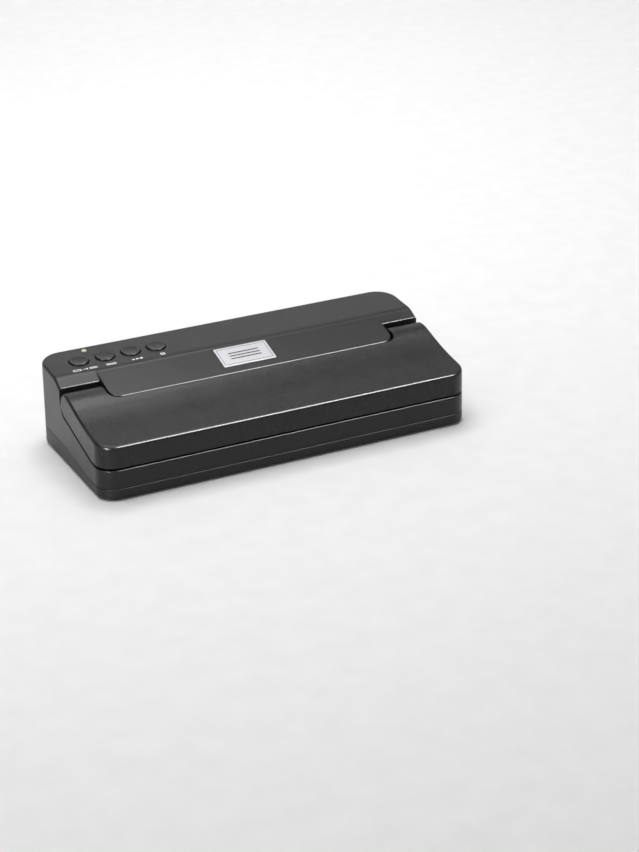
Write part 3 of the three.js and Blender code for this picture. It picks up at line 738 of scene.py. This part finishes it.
LATCH_X, PIN_HOLE = 165, 2.3
nozzle_hole = [(0, -20), (4.3, -20), (4.3, 5), (0, 5)]
switch_hole = [(0, -8), (2.6, -8), (2.6, -0.4), (3.1, 0.1), (3.1, 5), (0, 5)]
combine(case, "DIFFERENCE", gathered([
    *[box_prism(s * LATCH_X - 5.5, s * LATCH_X + 5.5, -74, -57, 16.4, 34) for s in (-1, 1)],
    set_in(ON_DECK, turned(nozzle_hole, 32), middle_x(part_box("vacuum_nozzle")), CHANNEL_V),
    set_in(ON_DECK, turned(switch_hole, 32), middle_x(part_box("lid_switch_plunger")), 22),
    *[cylinder_x(HINGE_Y, HINGE_Z, PIN_HOLE, s * 139 - 4, s * 139 + 4, 32) for s in (-1, 1)],
]))
posts = [
    set_in(ON_DECK, turned([(0, -10), (2.5, -10), (2.5, -1.2), (1.9, -0.6), (0, -0.6)], 32), x, CHANNEL_V + 3)
    for x in (-90, -30, 30)
]
combine(case, "UNION", gathered(posts))
print("deck cut, faces:", len(case.data.polygons))

# %% Cut the control panel, the badge's recess and the inlet
button_names = ["vacuum_seal", "seal", "pulse", "cancel"]
button_x = [middle_x(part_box("button_" + name)) for name in button_names]
lamp_x = middle_x(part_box("lamp_lens"))
BUTTON_V, LAMP_V = 21.4, 40  # up the panel from the crease
badge_low, badge_high = (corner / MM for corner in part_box("badge"))
badge_x, badge_half = (badge_low.x + badge_high.x) / 2, (badge_high.x - badge_low.x) / 2
BADGE_V, BADGE_HALF_V = -18.8, 13.4
button_hole = [(0, -12), (9.2, -12), (9.2, -0.45), (9.6, 0.0), (10.1, 0.5), (0, 0.5)]
lamp_hole = [(0, -12), (2.8, -12), (2.8, -0.25), (3.2, 0.2), (0, 0.2)]
badge_recess = slot_plan(badge_half + 0.3, BADGE_HALF_V + 0.3, 1.5, 5)
combine(case, "DIFFERENCE", gathered([
    *[set_in(ON_PANEL, turned(button_hole, 72), x, BUTTON_V) for x in button_x],
    set_in(ON_PANEL, turned(lamp_hole, 40), lamp_x, LAMP_V),
    set_in(ON_TONGUE, upright(badge_recess, -0.85, 3), badge_x, BADGE_V),
    box_prism(-117.3, -92.7, REAR - 9, REAR + 3, 27.2, 44.8),
]))
smooth(case)
finish_piece(case, "base", shell_plastic, "shell", "main_housing")

# %% [markdown]
# ## The lid
# The lid's top rolls over behind, where it meets the tongue, and flattens out towards the front lip.
# Beside the cut-out it leaves two arms, each ending in a barrel round the hinge. The barrel keeps the gap
# to the pocket even at every angle of the lid. The cut-out is swept round the hinge too, so that the lid
# clears the tongue. The top's edges are rounder than the lower ones. Round the barrel one radius grows
# into the other a little at a time, because a sudden step would leave a kink in the shine.

# %% Lid block, cut-out, rounding and hollow
GAP = 1.6
SWEEP_HALF = TONGUE_HALF - 8
LID_TOP = [(10.2, 68.6), (4, 68.5), (-4, 66.9), (-20, 61.8), (-44, 55.9), (-81, 50.2)]


def through(points, steps):
    """A smooth line through the points, as a uniform Catmull-Rom spline."""
    ends = [points[0], *points, points[-1]]
    line = [points[0]]
    for a, b, c, d in zip(ends, ends[1:], ends[2:], ends[3:]):
        for i in range(1, steps + 1):
            t = i / steps
            line.append(tuple(
                0.5 * (
                    2 * q + (r - p) * t + (2 * p - 5 * q + 4 * r - s) * t * t
                    + (3 * q - p - 3 * r + s) * t ** 3
                )
                for p, q, r, s in zip(a, b, c, d)
            ))
    return line


lid_line = [point for point in through(LID_TOP, 7) if point[0] > -60 or point[0] < FRONT]
# points beside the cut-out's corner are dropped, because the bevels of edges so close would cross there
lid_line = [point for point in lid_line if not (-12.8 < point[0] < -7.5 or -3 < point[0] < -2)]


def cut_out(grow):
    plan = rounded_plan(TONGUE_HALF + 2 + grow, TONGUE_Y - 1.5 - grow, 60, 9.5 + grow, 0)
    sweep = cylinder_x(HINGE_Y, HINGE_Z, 16.4 + grow, -SWEEP_HALF, SWEEP_HALF, 96)
    return [upright(plan), sweep]


lid = as_object(along_length([
    (FRONT - PAST, LIP_Z + GAP),
    *curve((LIP_END - 5, LIP_Z + GAP), (LIP_END, LIP_Z + GAP), (LIP_END + 5, deck_z(LIP_END + 5) + GAP), 4),
    *arc(HINGE_Y, HINGE_Z, BARREL, -90, 50, 18),
    *curve((HINGE_Y + BARREL * 0.55, HINGE_Z + BARREL * 0.835), (9.8, 68.75), (5.5, 68.62), 4),
    *[point for point in lid_line if point[0] < 4.2],
]), "lid")
combine(lid, "INTERSECT", case_prism(0))
combine(lid, "DIFFERENCE", *cut_out(0))


def lid_radius(middle, edge):
    x, y, z = middle
    if not edge.is_convex:
        return 0
    if abs(abs(x) - SWEEP_HALF) < 1 and z < 62.5 and y > TONGUE_Y - 3:
        return 0  # the small step where the sweep ends is too shallow to round
    if abs(x) < TONGUE_HALF + 3 and y > TONGUE_Y - 3:
        return 0.6  # the cut-out
    if y > HINGE_Y - 1 and z < HINGE_Z + BARREL:
        # round the barrel the radius grows a little with each facet, from the lower edge's to the top's
        turn_up = math.degrees(math.atan2(z - HINGE_Z, y - HINGE_Y))
        return 1.0 + 1.6 * min(1.0, max(0.0, (turn_up + 15) / 65))
    return 2.6 if z > deck_z(y) + 14 else 1.0


round_edges(lid, lid_radius)
barrel_front = HINGE_Y - BARREL
hollow = as_object(along_length([
    (FRONT - PAST, -3), (barrel_front, -3), (barrel_front, deck_z(barrel_front) + GAP + WALL),
    *arc(HINGE_Y, HINGE_Z, BARREL - WALL, -90, 60, 12),
    *[(y, z - WALL) for y, z in lid_line if y < HINGE_Y],
]), "hollow")
combine(hollow, "INTERSECT", case_prism(WALL))
combine(hollow, "DIFFERENCE", *cut_out(WALL))
combine(lid, "DIFFERENCE", shape_of(hollow))
combine(lid, "DIFFERENCE", gathered([
    cylinder_x(HINGE_Y, HINGE_Z, PIN_HOLE, s * 145 - 5, s * 145 + 5, 32) for s in (-1, 1)
]))
smooth(lid)
finish_piece(lid, "lid", lid_plastic, "lid", "lid_shell")

# %% [markdown]
# ## The bottom cover
# A shallow tray closes the case from below. Its seam sits low along the front and climbs to the rear, and
# both edges of the seam are eased so that it reads as one thin dark line. Its lower edge is rounded, so
# the case seems to float on its four rubber feet. The feet and the screws sit in wells, and four slots
# let air in.

# %% Bottom cover
BASE_Z, SEAM_GAP = 1.6, 0.3
cover_tray = as_object(along_length([
    (FRONT - PAST, BASE_Z), (REAR + PAST, BASE_Z), *[(y, z - SEAM_GAP) for y, z in reversed(seam)],
]), "cover")
combine(cover_tray, "INTERSECT", case_prism(0))
round_edges(cover_tray, lambda middle, edge: 1.8 if middle.z < 2 else 0.3)
combine(cover_tray, "DIFFERENCE", case_prism(WALL, 4, 60))


def well_at(node, profile, segments):
    """A turned tool from the profile, standing under the middle of a frame node."""
    low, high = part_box(node)
    middle = (low + high) / 2 / MM
    tool = turned(profile, segments)
    tool.transform(Matrix.Translation((middle.x * MM, middle.y * MM, 0)))
    return tool


foot_well = [(0, -1), (8.9, -1), (8.9, 1.9), (8.3, 2.4), (8.3, 3.3), (0, 3.3)]
screw_well = [(0, -1), (4.1, -1), (4.1, 1.7), (3.5, 2.3), (3.5, 12), (0, 12)]
feet = ["foot_front_left", "foot_front_right", "foot_rear_left", "foot_rear_right"]
combine(cover_tray, "DIFFERENCE", gathered([
    *[well_at(foot, foot_well, 48) for foot in feet],
    *[well_at(f"case_screw_{number}", screw_well, 40) for number in range(1, 7)],
    *[box_prism(x, x + 3, 10, 42, -1, 9) for x in (14, 22, 30, 38)],
]))
smooth(cover_tray)
finish_piece(cover_tray, "base", tray_plastic, "tray", "bottom_cover")

# %% [markdown]
# ## Buttons
# Each button is a turned cap: a soft shoulder and a shallow dish that finds the fingertip. The dish's rim
# is what shows as a bright ring. The flange below the panel stops the spring pushing the cap out.


# %% Turn the buttons
def oval(out, height, across, rise, angles):
    """Points of a shoulder or dome, as (radius, height) in mm."""
    turns = [math.radians(a) for a in angles]
    return [(out + across * math.cos(a), height + rise * math.sin(a)) for a in turns]


cap = [
    (0, -8.5), (2.2, -8.5), (2.2, -6.6), (10, -6.6), (10, -5.4), (8.7, -5.4), (8.7, 0.35),
    *oval(8.05, 0.35, 0.65, 0.85, (15, 30, 45, 60, 75, 90)),
    (7.6, 1.16), (7.0, 1.02), (6.0, 0.84), (4.5, 0.68), (2.5, 0.6), (0, 0.58),
]
for name, x in zip(button_names, button_x):
    button = as_object(set_in(ON_PANEL, turned(cap, 96), x, BUTTON_V), "cap_" + name)
    smooth(button, 50)
    finish_piece(button, "button_" + name, button_plastic, "button", "button_" + name)

# %% [markdown]
# ## Indicator lens
# A small domed light pipe, pressed into the panel from below. A dark shadow gap is left round it.

# %% Turn the lens
dome = oval(0, 0.1, 2.5, 0.95, range(10, 90, 10))
lens_profile = [(0, -9.4), (2.1, -9.4), (2.1, -1), (2.5, -1), (2.5, 0.1), *dome, (0, 1.05)]
lamp = as_object(set_in(ON_PANEL, turned(lens_profile, 48), lamp_x, LAMP_V), "indicator")
smooth(lamp, 50)
finish_piece(lamp, "base", lens_plastic, "lens", "lamp_lens")

# %% [markdown]
# ## Thin flat marks
# Prints and inlays are very thin flat shapes that lie on a surface. Each comes from its outline, and an
# outline with a hole in it is a pair of outlines with walls between them. They stand a few hundredths of
# a millimetre proud, as a film of ink does.

# %% Make flat marks
BELOW, ABOVE = 0.03, 0.02  # a mark's thickness each side of its own height


def bar(x0, x1, v0, v1):
    return [(x0, v0), (x1, v0), (x1, v1), (x0, v1)]


def outlined(x0, x1, v0, v1, line):
    return [bar(x0, x1, v0, v1), bar(x0 + line, x1 - line, v0 + line, v1 - line)]


def hollow_mark(outer, inner, low, high):
    ring = bmesh.new()
    rows = [
        [ring.verts.new(Vector((x, v, z)) * MM) for x, v in loop]
        for loop, z in ((outer, low), (outer, high), (inner, high), (inner, low))
    ]
    for near, far in zip(rows, rows[1:] + rows[:1]):
        for i in range(len(near)):
            k = (i + 1) % len(near)
            ring.faces.new((near[i], near[k], far[k], far[i]))
    bmesh.ops.recalc_face_normals(ring, faces=ring.faces)
    return ring


def printed(marks, lift, where, x, v):
    """Flat marks from outlines of (x, v) points in mm; a pair of outlines makes a hollow mark."""
    low, high = lift - BELOW, lift + ABOVE
    shapes = []
    for mark in marks:
        if isinstance(mark[0], list):
            shapes.append(hollow_mark(*mark, low, high))
        else:
            shapes.append(upright(mark, low, high))
    return set_in(where, gathered(shapes), x, v)


# %% [markdown]
# ## A plain badge
# The tongue carries a satin metal plate. Here it is a blank one with its own simple pattern: a fine dark
# line inside the edge and three level bars, which stand for nothing. The lines are shallow inlays, so
# they are built as separate thin strips that sit just proud of the plate.

# %% Badge plate and its inlay
PLATE_TOP, INLAY_LIFT = 0.35, 0.01
plate_shape = upright(slot_plan(badge_half, BADGE_HALF_V, 1.2, 5), -0.55, PLATE_TOP)
plate = as_object(set_in(ON_TONGUE, plate_shape, badge_x, BADGE_V), "badge_plate")
round_edges(plate, lambda middle, edge: 0.25, 3)
smooth(plate)
finish_piece(plate, "base", badge_metal, "badge", "badge")

LINE = 0.45
edge_x, edge_v = badge_half - 2.2, BADGE_HALF_V - 2.2
pattern = [
    outlined(-edge_x, edge_x, -edge_v, edge_v, LINE),
    *[bar(-15, 15, v - 0.7, v + 0.7) for v in (-3.9, 0, 3.9)],
]
inlay = as_object(printed(pattern, PLATE_TOP + INLAY_LIFT, ON_TONGUE, badge_x, BADGE_V), "badge_inlay")
finish_piece(inlay, "base", liner_plastic, "liner")

# %% [markdown]
# ## Symbols beside the buttons
# The panel needs a mark in front of each button. Plain printed signs do the job without words: a bag with
# an arrow to its sealed edge, the sealed edge alone, three short pulses and a square for stop.

# %% Print the symbols
SIGN_V, SIGN_LIFT = 5.0, 0.03
arrow = [(-2.4, -0.4), (1.2, -0.4), (1.2, -1.5), (2.0, -1.5), (2.0, 1.5), (1.2, 1.5), (1.2, 0.4), (-2.4, 0.4)]
signs = [
    [outlined(-11.5, -4, -1.8, 1.8, 0.8), arrow, bar(3.8, 11.5, 0.5, 1.5), bar(3.8, 11.5, -1.5, -0.5)],
    [bar(-4.7, 4.7, 0.5, 1.5), bar(-4.7, 4.7, -1.5, -0.5)],
    [bar(x - 1.3, x + 1.3, -1.0, 1.0) for x in (-3.8, 0, 3.8)],
    [outlined(-2.1, 2.1, -1.9, 1.9, 1.1)],
]
for name, x, marks in zip(button_names, button_x, signs):
    sign = as_object(printed(marks, SIGN_LIFT, ON_PANEL, x, SIGN_V), "sign_" + name)
    finish_piece(sign, "base", white_ink, "insulator")

# %% [markdown]
# ## Shading by angle for the frame's nodes
# The frame's round pieces are made of flat facets, and their meshes must stay as they are. A small node
# group runs as a modifier instead: it shades every face smoothly, then marks as sharp each edge that
# bends more than the given angle, so that cylinders look round and corners stay crisp.


# %% A node group that shades by angle
def round_shading(angle):
    """Makes the group; an edge that bends more than the angle, in degrees, stays sharp."""
    group = bpy.data.node_groups.new("round_shading", "GeometryNodeTree")
    group.interface.new_socket("Mesh", in_out="INPUT", socket_type="NodeSocketGeometry")
    group.interface.new_socket("Mesh", in_out="OUTPUT", socket_type="NodeSocketGeometry")
    start, end = group.nodes.new("NodeGroupInput"), group.nodes.new("NodeGroupOutput")
    faces, edges = (group.nodes.new("GeometryNodeSetShadeSmooth") for _ in range(2))
    bend, sharp = group.nodes.new("GeometryNodeInputMeshEdgeAngle"), group.nodes.new("FunctionNodeCompare")
    edges.domain = "EDGE"
    edges.inputs["Shade Smooth"].default_value = False
    sharp.inputs[1].default_value = math.radians(angle)
    group.links.new(start.outputs[0], faces.inputs["Geometry"])
    group.links.new(faces.outputs[0], edges.inputs["Geometry"])
    group.links.new(bend.outputs["Unsigned Angle"], sharp.inputs[0])
    group.links.new(sharp.outputs[0], edges.inputs["Selection"])
    group.links.new(edges.outputs[0], end.inputs[0])
    return group


# %% [markdown]
# ## Pieces that keep their frame shape
# The feet, screws, liner, gaskets, sealing stack and everything round the pump are already the right
# shape. They need only their finish, and most get a fine bevel so that their edges catch light. The
# facets are welded first, because a bevel works only on edges that two faces share. A few pieces have
# details too fine for a bevel.

# %% Finish the frame's own nodes
finishes = {
    "liner": liner_plastic, "foam": foam, "silicone": silicone, "tape": coated_tape, "steel": steel,
    "aluminium": aluminium, "rubber": foot_rubber, "board": board_green, "insulator": pale_plastic,
    "copper": copper, "hose": hose_silicone, "lens": lens_plastic, "button": button_plastic,
    "badge": badge_metal, "shell": shell_plastic, "lid": lid_plastic, "tray": tray_plastic,
}
slots = {part["node"]: part["material_slot"] for part in frame["record"]["subparts"]}
shading = round_shading(35)
TOO_FINE = ("case_screw", "latch_keeper", "heat_sink", "pump_rotor", "pump_head")  # no room for a bevel
THIN = 1.5  # a plate this thin keeps its square edge
for name, node in frame["nodes"].items():
    node.data.materials.clear()
    node.data.materials.append(finishes[slots[name]])
    if node.hide_render:
        continue
    weld = node.modifiers.new("weld", "WELD")
    weld.merge_threshold = 0.005 * MM
    low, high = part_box(name)
    if min(high - low) > THIN * MM and not name.startswith(TOO_FINE):
        ease = node.modifiers.new("ease", "BEVEL")
        ease.width = 0.25 * MM
        ease.segments = 2
        ease.limit_method = "ANGLE"
        ease.angle_limit = math.radians(40)
    node.modifiers.new("round_shading", "NODES").node_group = shading
print("frame nodes finished:", len(frame["nodes"]))

# %% [markdown]
# ## The stage
# A pale seamless sweep gives the plain surroundings of a catalogue picture. It runs level under the
# appliance and curves up behind it, so that no horizon shows. These sizes are metres.

# %% Lay the floor
bend = [(1.6 + y, 1.0 + z) for y, z in arc(0, 0, 1.0, -80, 0, 12)]
sweep_line = [(-4.0, 0.0), (1.6, 0.0), *bend, (2.6, 4.5)]
sweep = bmesh.new()
left = [sweep.verts.new((-5, y, z)) for y, z in sweep_line]
right_side = [sweep.verts.new((5, y, z)) for y, z in sweep_line]
for i in range(len(left) - 1):
    sweep.faces.new((left[i], right_side[i], right_side[i + 1], left[i + 1]))
floor = as_object(sweep, "floor")
floor.data.shade_smooth()
paper = Finish("pale_paper", Specular_IOR_Level=0.0)
fibre = paper.noise(40, 4)
paper.set(Base_Color=paper.blend(paper.between(0, 1, fibre), rgba(0.87), rgba(0.9)), Roughness=0.8)
floor.data.materials.append(paper.material)
print("floor faces:", len(floor.data.polygons))

# %% [markdown]
# ## The lights
# A large soft light overhead does most of the work, so level surfaces read lighter than the front. A weak
# one fills the left, and a wash keeps the backdrop pale. The last two show only in reflections, as strips
# of white card would: a long one high in front draws the thin bright line along the rounded edges, and a
# narrow upright one at the left is for the corners. They leave the floor's brightness alone.

# %% Light the scene
world = bpy.data.worlds.new("soft_room")
bpy.context.scene.world = world
world.use_nodes = True
world.node_tree.nodes["Background"].inputs["Color"].default_value = (1, 1, 1, 1)
world.node_tree.nodes["Background"].inputs["Strength"].default_value = 0.28


def soft_light(name, size, place, target, power, shine_only=False):
    light = bpy.data.lights.new(name, "AREA")
    light.shape = "RECTANGLE"
    light.size, light.size_y = size
    light.energy = power
    lamp_object = bpy.data.objects.new(name, light)
    lamp_object.location = place
    lamp_object.visible_diffuse = not shine_only
    aim = Vector(target) - Vector(place)
    lamp_object.rotation_mode = "QUATERNION"
    lamp_object.rotation_quaternion = aim.to_track_quat("-Z", "Y")
    bpy.context.collection.objects.link(lamp_object)
    return lamp_object


soft_light("overhead", (1.6, 1.0), (-0.1, 0.25, 1.7), (0, 0, 0), 23)
soft_light("left_fill", (0.8, 1.4), (-2.2, -0.4, 1.0), (0, 0, 0.03), 3)
soft_light("backdrop_wash", (2.4, 0.5), (0.8, 1.1, 2.3), (1.0, 2.6, 0.9), 30)
soft_light("edge_line", (1.0, 0.34), (0.66, -0.74, 1.4), (0.66, 0, 0.05), 115, shine_only=True)
soft_light("corner_line", (0.2, 0.8), (-1.15, -0.85, 0.42), (-0.15, -0.05, 0.03), 40, shine_only=True)
bpy.context.scene.view_settings.view_transform = "Standard"
